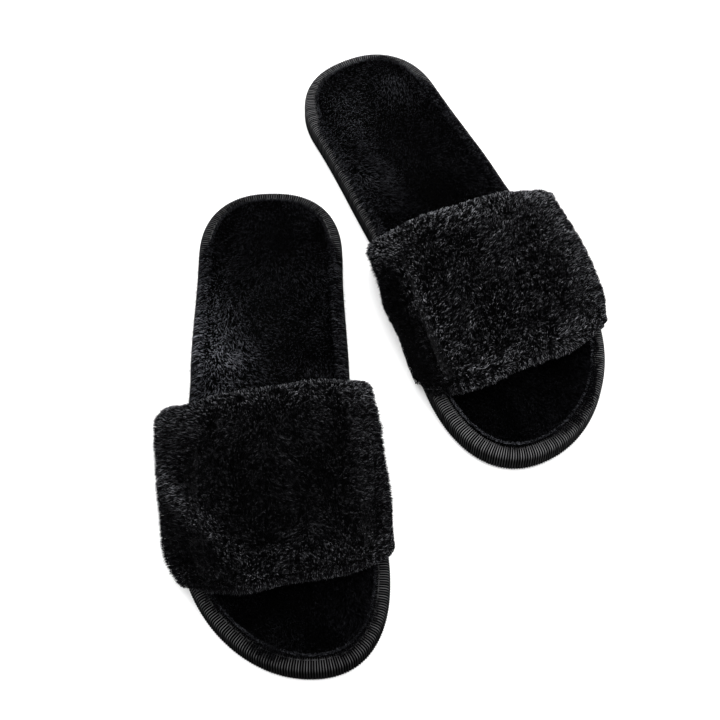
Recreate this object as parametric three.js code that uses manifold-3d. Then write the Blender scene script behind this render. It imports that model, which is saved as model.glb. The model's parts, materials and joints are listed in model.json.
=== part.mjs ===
// A pair of open-toe plush house slippers, standing side by side as they are sold.
//
// Millimetres, +Z up. The soles stand on z = 0. Toes point to -Y, heels to +Y, and the
// pair's bounding box is centred on the Z axis.
//
// Each slipper is built once, as a right slipper in its own frame: x is the distance from
// the sole's centre line towards the big toe (medial), y is minus the distance from the
// heel, z is up. The left slipper is the same set of pieces mirrored in x.
//
// From the floor up: outsole with tread, bottom filler, midsole foam, insole cover with its
// pile. A woven tape binds the edge of midsole and insole cover. The strap is a lining, a
// foam interlining and a plush shell. Its lining turns under the bound insole on both sides
// and lies in two notches of the bottom filler.

import * as THREE from 'three';
import { mergeVertices } from 'three/addons/utils/BufferGeometryUtils.js';
import Module from 'manifold-3d';

const wasm = await Module();
wasm.setup();

// ---- driving dimensions (mm) ----

const GAP = 0.3; // between pieces that lie on each other

const SOLE = {
  length: 255,
  heelWidth: 71.3,
  waistWidth: 75.6,
  ballWidth: 93.3,
  heelFromHeel: 43, // where the heel's width holds
  waistFromHeel: 107,
  ballFromToe: 69,
  heelRound: 38.4, // length of the rounded heel end
  heelPower: 2.32, // 2 is an ellipse, more is squarer
  toeRound: 60.7,
  toePower: 2.12,
  sweep: 21.9, // how far the toe's centre lies towards the big toe
  sweepPower: 3.5,
};

const OUTSOLE = {
  plate: 2.3,
  tread: 1.2,
  inset: 0.1, // inside the bound edge
  treadInset: 4.5,
  ribWidth: 6,
  ribPitch: 15,
  zigzag: 4, // height of a rib's zigzag
  zigzagStep: 17, // half its wavelength
  heelPad: 9, // radius of the plain round pads
  ballPad: 12,
};

const FILLER = { thick: 1.2, inset: 3 };
const FOAM = { thick: 3.4 };
const COVER = { backing: 1.2, pile: 4.5, pileRound: 2.2 };
const TAPE = { thick: 1, topFlap: 5.6, bottomFlap: 6, corner: 0.9 };
const THREAD = { radius: 0.45 };

const STRAP = {
  toeOpening: 56, // from the toe to the strap's front edge, at the sides
  length: 75, // along the foot, at the sides
  bowRear: 12.4, // how far the middle of each edge lies towards the toe
  bowFront: 20,
  footClear: 0.5, // between the bound edge and the lining
  footHeight: 11, // up to here the lining stands upright against the bound edge
  turnUnder: 10, // the lining's margin under the insole
  lining: 1,
  foam: 2.2,
  foamEdge: 5, // the foam stops this short of the strap's front and rear edges
  foamFoot: 0.25, // and this share of the arch short of its feet
  lip: 3, // the shell's rolled edge
  liningEdge: 1.2,
  stitchEdge: 4,
  stitchClear: 0.55, // between the lining and the thread on it
};

// The strap's arch, from its lateral foot over the crest to its medial foot. Each knot is
// [share of the sole's half width, offset beyond it, height].
const ARCH = {
  rearInner: [[-1, -1.6, 19], [-0.62, 0, 33], [0, 0, 38.5], [0.62, 0, 36.5], [1, 1.6, 24]],
  rearOuter: [[-1, -13, 20], [-0.62, 0, 43.5], [0, 0, 49], [0.62, 0, 47], [1, 8, 30]],
  frontInner: [[-1, -0.5, 14], [-0.62, 0, 23], [0, 0, 31], [0.62, 0, 25.5], [1, 0.5, 15]],
  frontOuter: [[-1, -4, 15], [-0.62, 0, 34.5], [0, 0, 42], [0.62, 0, 36.5], [1, 3.6, 19]],
};
const SHELL_FOOT = { rear: 5, front: 3.2 }; // the shell's thickness at its feet, from the bound edge

// Where each slipper stands: its heel, its turn about Z, and how its soft strap leans.
// side is 1 for a right slipper and -1 for a left one.
const SLIPPERS = [
  { name: 'right', side: 1, heel: [-45.4, 92.6], turn: 0.0095, slantRear: -6.2, slantFront: -9.2 },
  { name: 'left', side: -1, heel: [-9.1, 181], turn: 0.4765, slantRear: -4.5, slantFront: -2.7 },
];

const EDGE_POINTS = 52; // round the sole
const ARCH_STEPS = 20; // over the strap
const STRAP_STEPS = 7; // along the strap

// ---- heights (mm) ----

const Z = {};
Z.outsoleTop = OUTSOLE.tread + OUTSOLE.plate;
Z.filler = Z.outsoleTop + GAP;
Z.fillerTop = Z.filler + FILLER.thick;
Z.tape = Z.fillerTop + GAP;
Z.foamOverFlap = Z.tape + TAPE.thick + GAP;
Z.foamTop = Z.foamOverFlap + FOAM.thick;
Z.cover = Z.foamTop + GAP;
Z.backingTop = Z.cover + COVER.backing;
Z.topFlap = Z.backingTop + GAP;
Z.tapeTop = Z.topFlap + TAPE.thick;
Z.pileTop = Z.backingTop + COVER.pile;

// ---- materials ----

const finish = (color, roughness) => new THREE.MeshStandardMaterial({ color, roughness, metalness: 0 });
const MATERIAL = {
  outsole: finish(0x141415, 0.75),
  foam: finish(0x3a3a3c, 0.95),
  plush: finish(0x17171a, 1),
  tape: finish(0x1d1d1f, 0.8),
  lining: finish(0x151517, 0.95),
  thread: finish(0x101011, 0.7),
};

// ---- the sole's outline ----

const smooth = (x) => {
  const t = Math.min(Math.max(x, 0), 1);
  return t * t * (3 - 2 * t);
};
const mix = (a, b, t) => a + (b - a) * t;

function roundEnd(fromEnd, round, power) {
  const t = Math.min(Math.max((round - fromEnd) / round, 0), 1);
  return (1 - t ** power) ** (1 / power);
}

function halfWidth(u) {
  const { length, heelWidth, waistWidth, ballWidth, heelFromHeel, waistFromHeel, ballFromToe } = SOLE;
  const ball = length - ballFromToe;
  const toWaist = smooth((u - heelFromHeel) / (waistFromHeel - heelFromHeel));
  const toBall = smooth((u - waistFromHeel) / (ball - waistFromHeel));
  const width = mix(mix(heelWidth, waistWidth, toWaist), ballWidth, toBall);
  const ends = roundEnd(u, SOLE.heelRound, SOLE.heelPower)
    * roundEnd(length - u, SOLE.toeRound, SOLE.toePower);
  return (width / 2) * ends;
}

const centreLine = (u) => SOLE.sweep * (Math.min(Math.max(u, 0), SOLE.length) / SOLE.length) ** SOLE.sweepPower;

// Points round the sole, from the heel down the medial side to the toe and back, each moved
// inwards by inset. Point i and point (count - 1 - i) face each other across the sole.
function outline(inset, count = EDGE_POINTS) {
  const edge = (i) => {
    const angle = ((i + 0.5) * 2 * Math.PI) / count;
    const u = (SOLE.length * (1 - Math.cos(angle))) / 2;
    const side = Math.sin(angle) > 0 ? 1 : -1;
    return [centreLine(u) + side * halfWidth(u), -u];
  };
  const points = [];
  for (let i = 0; i < count; i += 1) {
    const before = edge(i - 1);
    const after = edge(i + 1);
    const [dx, dy] = [after[0] - before[0], after[1] - before[1]];
    const length = Math.hypot(dx, dy);
    const [x, y] = edge(i);
    points.push([x + (inset * dy) / length, y - (inset * dx) / length]);
  }
  return points;
}

// ---- solids: { points: [[x, y, z]...], faces: [[a, b, c]...] } ----

function signedVolume({ points, faces }) {
  let sum = 0;
  for (const [a, b, c] of faces) {
    const [p, q, r] = [points[a], points[b], points[c]];
    sum += p[0] * (q[1] * r[2] - q[2] * r[1]) - p[1] * (q[0] * r[2] - q[2] * r[0])
      + p[2] * (q[0] * r[1] - q[1] * r[0]);
  }
  return sum / 6;
}

const flipped = (faces) => faces.map(([a, b, c]) => [a, c, b]);

// A closed solid through a row of loops with the same number of points. An open row gets an
// end cap at each end, a strip between point j and point (count - 1 - j) of the end loop.
function loft(loops, closed = false) {
  const count = loops[0].length;
  const points = loops.flat();
  const faces = [];
  const at = (row, j) => (row % loops.length) * count + (j % count);
  const rows = closed ? loops.length : loops.length - 1;
  for (let row = 0; row < rows; row += 1) {
    for (let j = 0; j < count; j += 1) {
      faces.push([at(row, j), at(row + 1, j), at(row + 1, j + 1)]);
      faces.push([at(row, j), at(row + 1, j + 1), at(row, j + 1)]);
    }
  }
  if (!closed) {
    for (let j = 0; j < count / 2 - 1; j += 1) {
      const far = count - 1 - j;
      for (const [row, turn] of [[0, false], [loops.length - 1, true]]) {
        const strip = [[at(row, j), at(row, j + 1), at(row, far - 1)], [at(row, j), at(row, far - 1), at(row, far)]];
        faces.push(...(turn ? flipped(strip) : strip));
      }
    }
  }
  const solid = { points, faces };
  return signedVolume(solid) < 0 ? { points, faces: flipped(faces) } : solid;
}

function toManifold({ points, faces }) {
  const geometry = new THREE.BufferGeometry();
  geometry.setAttribute('position', new THREE.Float32BufferAttribute(points.flat(), 3));
  geometry.setIndex(faces.flat());
  const merged = mergeVertices(geometry, 1e-5);
  return new wasm.Manifold(new wasm.Mesh({
    numProp: 3,
    vertProperties: new Float32Array(merged.attributes.position.array),
    triVerts: new Uint32Array(merged.index.array),
  }));
}

function fromManifold(manifold) {
  const mesh = manifold.getMesh();
  const points = [];
  const faces = [];
  for (let i = 0; i < mesh.vertProperties.length; i += mesh.numProp) {
    points.push([...mesh.vertProperties.slice(i, i + 3)]);
  }
  for (let i = 0; i < mesh.triVerts.length; i += 3) faces.push([...mesh.triVerts.slice(i, i + 3)]);
  return { points, faces };
}

// A solid of stacked outlines. Each level is [inset, z].
const stack = (levels) => loft(levels.map(([inset, z]) => outline(inset).map(([x, y]) => [x, y, z])));

// A ring that follows the sole's edge, with a section of [inset, z] points.
function edgeRing(section) {
  const loops = section.map(([inset, z]) => outline(inset).map(([x, y]) => [x, y, z]));
  return loft(loops[0].map((_, i) => loops.map((loop) => loop[i])), true);
}

// A round section of count points about the middle [a, b].
const round = (middle, radius, count = 4) => Array.from({ length: count }, (_, i) => {
  const angle = ((i + 0.5) * 2 * Math.PI) / count;
  return [middle[0] + radius * Math.cos(angle), middle[1] + radius * Math.sin(angle)];
});

// ---- the sole's pieces ----

function zigzagRib(u) {
  const steps = Math.ceil(SOLE.ballWidth / OUTSOLE.zigzagStep) + 3;
  const loops = [];
  for (let k = 0; k <= steps; k += 1) {
    const x = (k - steps / 2) * OUTSOLE.zigzagStep + SOLE.sweep / 2;
    const y = -u + (k % 2 === 0 ? 1 : -1) * (OUTSOLE.zigzag / 2);
    const [front, back] = [y - OUTSOLE.ribWidth / 2, y + OUTSOLE.ribWidth / 2];
    loops.push([[x, front, 0], [x, back, 0], [x, back, Z.outsoleTop], [x, front, Z.outsoleTop]]);
  }
  return toManifold(loft(loops));
}

function pad(u, radius) {
  const loops = [0, Z.outsoleTop].map((z) => round([centreLine(u), -u], radius, 24).map(([x, y]) => [x, y, z]));
  return toManifold(loft(loops));
}

const padPlaces = () => [
  { u: SOLE.heelFromHeel, radius: OUTSOLE.heelPad },
  { u: SOLE.length - SOLE.ballFromToe, radius: OUTSOLE.ballPad },
];

function outsole() {
  const plate = toManifold(stack([[OUTSOLE.inset, OUTSOLE.tread], [OUTSOLE.inset, Z.outsoleTop]]));
  const treadArea = toManifold(stack([[OUTSOLE.treadInset, 0], [OUTSOLE.treadInset, Z.outsoleTop]]));
  let tread = null;
  for (let u = OUTSOLE.ribPitch; u < SOLE.length - OUTSOLE.ribPitch / 2; u += OUTSOLE.ribPitch) {
    const rib = zigzagRib(u);
    tread = tread ? tread.add(rib) : rib;
  }
  for (const { u, radius } of padPlaces()) tread = tread.add(pad(u, radius));
  return fromManifold(plate.add(tread.intersect(treadArea)));
}

// A block along one side of the sole, from inset to past the edge, for the notch that the
// lining's margin lies in. way is 1 for the medial side and -1 for the lateral side.
function sideBlock(way, uFrom, uTo, inset, z0, z1) {
  const loops = [];
  for (let k = 0; k <= STRAP_STEPS; k += 1) {
    const u = mix(uFrom, uTo, k / STRAP_STEPS);
    const inner = centreLine(u) + way * (halfWidth(u) - inset);
    const outer = centreLine(u) + way * (halfWidth(u) + inset);
    loops.push([[inner, -u, z0], [outer, -u, z0], [outer, -u, z1], [inner, -u, z1]]);
  }
  return toManifold(loft(loops));
}

function bottomFiller(lay) {
  let filler = toManifold(stack([[FILLER.inset, Z.filler], [FILLER.inset, Z.fillerTop]]));
  for (const [way, s] of [[-1, 0], [1, 1]]) {
    const [rear, front] = strapEnds(s, lay);
    const notch = STRAP.turnUnder + GAP;
    filler = filler.subtract(sideBlock(way, rear - GAP, front + GAP, notch, Z.filler - 1, Z.fillerTop + 1));
  }
  return fromManifold(filler);
}

const insideTape = TAPE.thick + GAP;

const midsoleFoam = () => stack([
  [TAPE.bottomFlap + GAP, Z.tape], [TAPE.bottomFlap + GAP, Z.foamOverFlap],
  [insideTape, Z.foamOverFlap], [insideTape, Z.foamTop],
]);

const insoleCover = () => stack([
  [insideTape, Z.cover], [insideTape, Z.backingTop],
  [TAPE.topFlap + GAP, Z.backingTop], [TAPE.topFlap + GAP, Z.pileTop - COVER.pileRound],
  [TAPE.topFlap + GAP + COVER.pileRound, Z.pileTop],
]);

const edgeBinding = () => edgeRing([
  [TAPE.bottomFlap, Z.tape], [TAPE.corner, Z.tape], [0, Z.tape + TAPE.corner],
  [0, Z.tapeTop - 2 * TAPE.corner], [2 * TAPE.corner, Z.tapeTop], [TAPE.topFlap, Z.tapeTop],
  [TAPE.topFlap, Z.topFlap], [TAPE.thick, Z.topFlap],
  [TAPE.thick, Z.tape + TAPE.thick], [TAPE.bottomFlap, Z.tape + TAPE.thick],
]);

const bindingStitch = () => {
  const middle = [TAPE.topFlap - 2 * THREAD.radius, Z.tapeTop + GAP + THREAD.radius];
  return edgeRing(round(middle, THREAD.radius));
};

// ---- the strap ----

// Along the foot, the strap's rear and front edge at share s of the arch.
function strapEnds(s, lay) {
  const across = -Math.cos(Math.PI * s);
  const bow = Math.sin(Math.PI * s);
  const front = SOLE.length - STRAP.toeOpening;
  const rear = front - STRAP.length;
  return [
    rear + lay.slantRear * across + STRAP.bowRear * bow,
    front + lay.slantFront * across + STRAP.bowFront * bow,
  ];
}

// A smooth arch through the knots at share t of the way from the rear to the front section,
// with a foot added at each end.
function archCurve(rear, front, t, half, footBeyond) {
  const knots = rear.map((knot, k) => {
    const [share, beyond, z] = knot.map((value, n) => mix(value, front[k][n], t));
    return new THREE.Vector3(share * half + beyond, z, 0);
  });
  const feet = [-1, 1].map((way) => new THREE.Vector3(way * (half + footBeyond), STRAP.footHeight, 0));
  return new THREE.CatmullRomCurve3([feet[0], ...knots, feet[1]], false, 'centripetal');
}

const shellBeyond = (t) => STRAP.footClear + mix(SHELL_FOOT.rear, SHELL_FOOT.front, t);

// A point of the strap: s over the arch, t from the rear edge to the front edge, and the
// distance out from the lining's inner face. Infinity is the shell's outer face.
function strapPoint(s, t, distance, lay) {
  const [rear, front] = strapEnds(s, lay);
  const u = mix(rear, front, t);
  const half = halfWidth(u);
  const inner = archCurve(ARCH.rearInner, ARCH.frontInner, t, half, STRAP.footClear).getPoint(s);
  const outer = archCurve(ARCH.rearOuter, ARCH.frontOuter, t, half, shellBeyond(t)).getPoint(s);
  const room = inner.distanceTo(outer);
  const point = inner.lerp(outer, Math.min(distance / room, 1));
  return [centreLine(u) + point.x, -u, point.y];
}

// A point of the strap below its arch, beside the bound edge. way is 1 on the medial side.
function footPoint(way, t, beyond, z, lay) {
  const [rear, front] = strapEnds(way > 0 ? 1 : 0, lay);
  const u = mix(rear, front, t);
  return [centreLine(u) + way * (halfWidth(u) + beyond), -u, z];
}

const steps = (from, to, count) => Array.from({ length: count + 1 }, (_, i) => mix(from, to, i / count));

const ARCH_SHARES = steps(0, 1, ARCH_STEPS);
const FOAM_SHARES = ARCH_SHARES.filter((s) => Math.min(s, 1 - s) > STRAP.foamFoot - 0.5 / ARCH_STEPS);

// The strap's face from foot to foot. distance is a number or a function of s, and feet lists
// the points below the arch on one side, from the lowest up, as [beyond the bound edge, z].
function strapFace(t, distance, feet, lay, shares = ARCH_SHARES) {
  const below = (way) => feet.map(([beyond, z]) => footPoint(way, t, beyond, z, lay));
  const depth = typeof distance === 'function' ? distance : () => distance;
  return [
    ...below(-1),
    ...shares.map((s) => strapPoint(s, t, depth(s), lay)),
    ...below(1).toReversed(),
  ];
}

const alongStrap = (mm) => mm / STRAP.length;
const foamStations = () => steps(alongStrap(STRAP.foamEdge), 1 - alongStrap(STRAP.foamEdge), STRAP_STEPS);

// The shell closes round the foam: at its edges and feet it lies on the lining.
function strapShell(lay) {
  const onLining = STRAP.lining + GAP;
  const onFoam = (s) => (FOAM_SHARES.includes(s) ? onLining + STRAP.foam + GAP : onLining);
  const lip = alongStrap(STRAP.lip);
  const middle = foamStations().map((t) => [t, onFoam]);
  const stations = [[0, onLining], [lip, onLining], ...middle, [1 - lip, onLining], [1, onLining]];
  return loft(stations.map(([t, distance]) => [
    ...strapFace(t, Infinity, [[shellBeyond(t), Z.filler]], lay),
    ...strapFace(t, distance, [[STRAP.footClear + onLining, Z.filler]], lay).toReversed(),
  ]));
}

function strapFoam(lay) {
  const inner = STRAP.lining + GAP;
  return loft(foamStations().map((t) => [
    ...strapFace(t, inner + STRAP.foam, [], lay, FOAM_SHARES),
    ...strapFace(t, inner, [], lay, FOAM_SHARES).toReversed(),
  ]));
}

// The lining stands upright at its feet and turns under the bound insole.
function strapLining(lay) {
  const edge = alongStrap(STRAP.liningEdge);
  const feet = (beyond, z) => [[-STRAP.turnUnder, z], [beyond, z]];
  return loft(steps(edge, 1 - edge, STRAP_STEPS).map((t) => [
    ...strapFace(t, STRAP.lining, feet(STRAP.footClear + STRAP.lining, Z.filler), lay),
    ...strapFace(t, 0, feet(STRAP.footClear, Z.fillerTop), lay).toReversed(),
  ]));
}

// A thread on the lining's inner face, near the strap's rear or front edge.
function strapStitch(front, lay) {
  const mmFromEdge = STRAP.stitchEdge;
  const shares = steps(0.06, 0.94, ARCH_STEPS);
  const section = round([mmFromEdge, -STRAP.stitchClear - THREAD.radius], THREAD.radius);
  return loft(shares.map((s) => section.map(([mm, distance]) => {
    const t = front ? 1 - alongStrap(mm) : alongStrap(mm);
    return strapInside(s, t, -distance, lay);
  })));
}

// A point inside the strap's arch, depth in from the lining's inner face.
function strapInside(s, t, depth, lay) {
  const face = strapPoint(s, t, 0, lay);
  const above = strapPoint(s, t, 1, lay);
  return face.map((value, k) => value - (above[k] - value) * depth);
}

// ---- assembly ----

function piece(name, solid, material, side) {
  const geometry = new THREE.BufferGeometry();
  const points = solid.points.map(([x, y, z]) => [side * x, y, z]);
  const faces = side < 0 ? flipped(solid.faces) : solid.faces;
  geometry.setAttribute('position', new THREE.Float32BufferAttribute(points.flat(), 3));
  geometry.setIndex(faces.flat());
  geometry.computeVertexNormals();
  const mesh = new THREE.Mesh(geometry, material);
  mesh.name = name;
  return mesh;
}

function slipper({ name, side, heel, turn, ...lay }) {
  const group = new THREE.Group();
  const add = (part, solid, material) => group.add(piece(`${name}_${part}`, solid, material, side));
  add('outsole', outsole(), MATERIAL.outsole);
  add('bottom_filler', bottomFiller(lay), MATERIAL.foam);
  add('midsole_foam', midsoleFoam(), MATERIAL.foam);
  add('insole_cover', insoleCover(), MATERIAL.plush);
  add('edge_binding', edgeBinding(), MATERIAL.tape);
  add('binding_stitch', bindingStitch(), MATERIAL.thread);
  add('strap_lining', strapLining(lay), MATERIAL.lining);
  add('strap_foam', strapFoam(lay), MATERIAL.foam);
  add('strap_shell', strapShell(lay), MATERIAL.plush);
  add('strap_rear_stitch', strapStitch(false, lay), MATERIAL.thread);
  add('strap_front_stitch', strapStitch(true, lay), MATERIAL.thread);
  group.position.set(heel[0], heel[1], 0);
  group.rotation.z = turn;
  return group;
}

const pair = new THREE.Group();
for (const place of SLIPPERS) pair.add(slipper(place));

pair.updateMatrixWorld(true);
const middle = new THREE.Box3().setFromObject(pair, true).getCenter(new THREE.Vector3());
pair.position.set(-middle.x, -middle.y, 0);

export default pair;
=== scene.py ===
"""A pair of open-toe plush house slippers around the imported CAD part. Metres, +Z up.

Each slipper's surfaces are worked out in a right slipper's own frame: x is the distance from
the sole's centre line towards the big toe, y is minus the distance u from the heel, z is up
from the floor. A Slipper mirrors and turns them to where the CAD's resting faces are.
"""

import json
import math

import bpy
import numpy as np
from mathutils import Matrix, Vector


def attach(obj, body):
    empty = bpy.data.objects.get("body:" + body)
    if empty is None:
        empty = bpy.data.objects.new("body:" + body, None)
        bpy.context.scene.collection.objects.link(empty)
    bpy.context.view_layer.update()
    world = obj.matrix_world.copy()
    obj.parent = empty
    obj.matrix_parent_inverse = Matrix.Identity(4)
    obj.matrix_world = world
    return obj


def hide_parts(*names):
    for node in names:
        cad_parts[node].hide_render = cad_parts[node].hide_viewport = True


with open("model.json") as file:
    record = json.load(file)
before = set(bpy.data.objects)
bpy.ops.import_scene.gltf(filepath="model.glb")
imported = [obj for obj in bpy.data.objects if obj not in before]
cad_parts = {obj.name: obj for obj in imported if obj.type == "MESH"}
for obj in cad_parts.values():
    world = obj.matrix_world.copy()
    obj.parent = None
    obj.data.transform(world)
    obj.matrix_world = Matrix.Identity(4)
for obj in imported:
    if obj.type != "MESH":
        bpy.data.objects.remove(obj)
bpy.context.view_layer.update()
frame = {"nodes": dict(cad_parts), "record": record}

MM = 0.001

# ---- the CAD's sole and strap, in millimetres ----

LENGTH = 255.0
HEEL_WIDTH, WAIST_WIDTH, BALL_WIDTH = 71.3, 75.6, 93.3
HEEL_AT, WAIST_AT, BALL_AT = 43.0, 107.0, LENGTH - 69.0
HEEL_ROUND, HEEL_POWER = 38.4, 2.32
TOE_ROUND, TOE_POWER = 60.7, 2.12
SWEEP, SWEEP_POWER = 21.9, 3.5

GAP = 0.3
OUTSOLE_TOP = 3.5
FILLER_TOP = OUTSOLE_TOP + GAP + 1.2
TAPE_BOTTOM = FILLER_TOP + GAP
TAPE_THICK = 1.0
FOAM_TOP = TAPE_BOTTOM + TAPE_THICK + GAP + 3.4
COVER_BOTTOM = FOAM_TOP + GAP
BACKING_TOP = COVER_BOTTOM + 1.2
FOOTBED_TOP = BACKING_TOP + 2.0
FLAP_BOTTOM = BACKING_TOP + GAP
TAPE_TOP = FLAP_BOTTOM + TAPE_THICK
TOP_FLAP, BOTTOM_FLAP = 5.6, 6.0
INSIDE_TAPE = TAPE_THICK + GAP

STRAP_FRONT = LENGTH - 56.0
STRAP_LENGTH = 75.0
STRAP_REAR = STRAP_FRONT - STRAP_LENGTH
BOW_REAR, BOW_FRONT = 12.4, 20.0
FOOT_CLEAR, FOOT_HEIGHT = 0.5, 11.0
FOOT_BOTTOM = OUTSOLE_TOP + GAP
TURN_UNDER = 10.0
LINING = 1.0
LINING_EDGE = 1.2
SHELL_FOOT_REAR, SHELL_FOOT_FRONT = 5.0, 3.2

# The strap's front corners are cut back by these lengths, within this share of the arch.
CORNER_REACH, CORNER_LATERAL, CORNER_MEDIAL = 0.17, 2.0, 5.0

# Knots of the strap's arch: share of the half width, offset beyond it, height.
REAR_INNER = [(-1, -1.6, 19), (-0.62, 0, 33), (0, 0, 38.5), (0.62, 0, 36.5), (1, 1.6, 24)]
REAR_OUTER = [(-1, -13, 20), (-0.62, 0, 43.5), (0, 0, 49), (0.62, 0, 47), (1, 8, 30)]
FRONT_INNER = [(-1, -0.5, 14), (-0.62, 0, 23), (0, 0, 31), (0.62, 0, 25.5), (1, 0.5, 15)]
FRONT_OUTER = [(-1, -4, 15), (-0.62, 0, 34.5), (0, 0, 42), (0.62, 0, 36.5), (1, 3.6, 19)]

# ---- the pile ----

STRAP_PILE, FOOTBED_PILE = 6.0, 3.0
STRAP_PIECES, FOOTBED_PIECES = 3, 2
FIBRES_PER_PIECE = 32500  # six faces each
MARGIN_FIBRES = 12000
RING = 0.78  # a fibre is widest at this share of its length
ARCH_LENGTH = 140.0  # roughly, from foot to foot over the crest

# A fibre's shade is a random number to one of these powers: few are light, with painted sheen, most
# are dark.
STRAP_CONTRAST, FOOTBED_CONTRAST = 9, 4
RIM_CONTRAST, OVERHANG_CONTRAST = 2.0, 6.0

# ---- the outsole's tread, the tape's ribs and the stitches ----

TREAD, TREAD_INSET = 1.2, 4.7
TREAD_SPACING, TREAD_WIDTH, ZIGZAG, ZIGZAG_STEP = 15.0, 6.0, 4.0, 17.0
OUTSOLE_INSET = 1.5
RIB_PITCH, RIB_DEPTH = 1.22, 0.35
RIB_SHADES = 16  # the ribs' shades repeat after this many
TAPE_ROUND = 2.2
# The tape's wall has painted shade below this height, in millimetres.
TAPE_SHADE_BELOW = 9.5
STITCH_PITCH, STITCH_LENGTH, STITCH_RADIUS = 3.4, 2.8, 0.3


# ---- small tools ----

def smooth(x):
    x = np.clip(x, 0, 1)
    return x * x * (3 - 2 * x)


def mix(a, b, t):
    return a + (b - a) * t


def unit(v):
    return v / np.maximum(np.linalg.norm(v, axis=-1, keepdims=True), 1e-12)


# ---- the sole's outline ----

def round_end(from_end, length, power):
    t = np.clip((length - from_end) / length, 0, 1)
    return (1 - t**power) ** (1 / power)


def half_width(u):
    width = mix(HEEL_WIDTH, WAIST_WIDTH, smooth((u - HEEL_AT) / (WAIST_AT - HEEL_AT)))
    width = mix(width, BALL_WIDTH, smooth((u - WAIST_AT) / (BALL_AT - WAIST_AT)))
    ends = round_end(u, HEEL_ROUND, HEEL_POWER) * round_end(LENGTH - u, TOE_ROUND, TOE_POWER)
    return width / 2 * ends


def centre_line(u):
    return SWEEP * np.clip(u / LENGTH, 0, 1) ** SWEEP_POWER


def edge_curve(count):
    """Evenly spaced points round the sole's edge and their outward normals."""
    angle = np.linspace(0, 2 * math.pi, 4001)
    u = LENGTH * (1 - np.cos(angle)) / 2
    x = centre_line(u) + np.sign(np.sin(angle)) * half_width(u)
    fine = np.stack([x, -u], 1)
    run = np.r_[0, np.cumsum(np.linalg.norm(np.diff(fine, axis=0), axis=1))]
    at = np.linspace(0, run[-1], count, endpoint=False)
    points = np.stack([np.interp(at, run, fine[:, k]) for k in (0, 1)], 1)
    step = max(1, count // 300)
    ahead = np.roll(points, -step, 0) - np.roll(points, step, 0)
    normals = unit(np.stack([-ahead[:, 1], ahead[:, 0]], 1))
    return points, normals, run[-1]


# ---- the strap's surfaces ----

def arch(rear, front, t, half, foot_beyond, count):
    """Points over the arch, (len(t), count, 2) of x from the centre line and z: a centripetal
    Catmull-Rom curve through the knots, with a foot added at each end."""
    t = t[:, None]
    rear, front = np.array(rear, float), np.array(front, float)
    knots = rear[None] * (1 - t[..., None]) + front[None] * t[..., None]
    x = knots[..., 0] * half[:, None] + knots[..., 1]
    z = knots[..., 2]
    foot = half + foot_beyond
    height = np.full_like(foot, FOOT_HEIGHT)
    points = np.stack([np.c_[-foot, x, foot], np.c_[height, z, height]], -1)
    first = 2 * points[:, :1] - points[:, 1:2]
    last = 2 * points[:, -1:] - points[:, -2:-1]
    points = np.concatenate([first, points, last], 1)
    place = np.linspace(0, 1, count) * (points.shape[1] - 3)
    segment = np.minimum(place.astype(int), points.shape[1] - 4)
    w = (place - segment)[None, :, None]
    p0, p1, p2, p3 = (points[:, segment + k] for k in range(4))
    d0, d1, d2 = (np.maximum(np.linalg.norm(b - a, axis=-1, keepdims=True) ** 0.5, 1e-6)
                  for a, b in ((p0, p1), (p1, p2), (p2, p3)))
    t1 = ((p1 - p0) / d0 - (p2 - p0) / (d0 + d1) + (p2 - p1) / d1) * d1
    t2 = ((p2 - p1) / d1 - (p3 - p1) / (d1 + d2) + (p3 - p2) / d2) * d1
    return p1 + t1 * w + (3 * (p2 - p1) - 2 * t1 - t2) * w**2 + (2 * (p1 - p2) + t1 + t2) * w**3


class Strap:
    """The strap of one slipper as grids: rows from its rear to its front edge, columns from
    its lateral foot over the crest to its medial foot."""

    BELOW = 4  # columns below the arch at each foot
    COUNT = 121  # columns over the arch

    def __init__(self, slant_rear, slant_front):
        self.slants = slant_rear, slant_front

    def columns(self):
        s = np.linspace(0, 1, self.COUNT)
        return np.r_[np.zeros(self.BELOW), s, np.ones(self.BELOW)]

    def along(self, t):
        """u of each grid point."""
        s = self.columns()[None]
        across, bow = -np.cos(math.pi * s), np.sin(math.pi * s)
        near_foot = 1 - smooth(np.minimum(s, 1 - s) / CORNER_REACH)
        front_corner = mix(CORNER_LATERAL, CORNER_MEDIAL, s) * near_foot
        rear = STRAP_REAR + self.slants[0] * across + BOW_REAR * bow
        front = STRAP_FRONT + self.slants[1] * across + BOW_FRONT * bow - front_corner
        return mix(rear, front, t[:, None])

    def faces(self, t):
        """The lining's inner face and the pile's outer face, each (rows, columns, 3)."""
        t = np.asarray(t, float)
        u = self.along(t)
        beyond = FOOT_CLEAR + mix(SHELL_FOOT_REAR, SHELL_FOOT_FRONT, t)
        out = []
        for rear, front, foot in ((REAR_INNER, FRONT_INNER, np.full_like(t, FOOT_CLEAR)),
                                  (REAR_OUTER, FRONT_OUTER, beyond)):
            grid = np.zeros(u.shape + (3,))
            for column in range(u.shape[1]):
                half = half_width(u[:, column])
                below = max(self.BELOW - column, column - self.BELOW - self.COUNT + 1, 0)
                if below:
                    way = -1 if column < self.BELOW else 1
                    x = way * (half + foot)
                    z = np.full_like(t, mix(FOOT_HEIGHT, FOOT_BOTTOM, below / self.BELOW))
                else:
                    curve = arch(rear, front, t, half, foot, self.COUNT)[:, column - self.BELOW]
                    x, z = curve[:, 0], curve[:, 1]
                grid[:, column] = np.stack([centre_line(u[:, column]) + x, -u[:, column], z], 1)
            out.append(grid)
        return out

    def layer(self, t, depth):
        """The grid at a depth out from the lining's inner face: a number, or a function of
        the room between the strap's inner and outer faces."""
        inner, outer = self.faces(t)
        room = np.linalg.norm(outer - inner, axis=-1, keepdims=True)
        depth = depth(room) if callable(depth) else depth
        return inner + (outer - inner) / room * np.minimum(depth, room)


# ---- slippers and meshes ----

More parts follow.
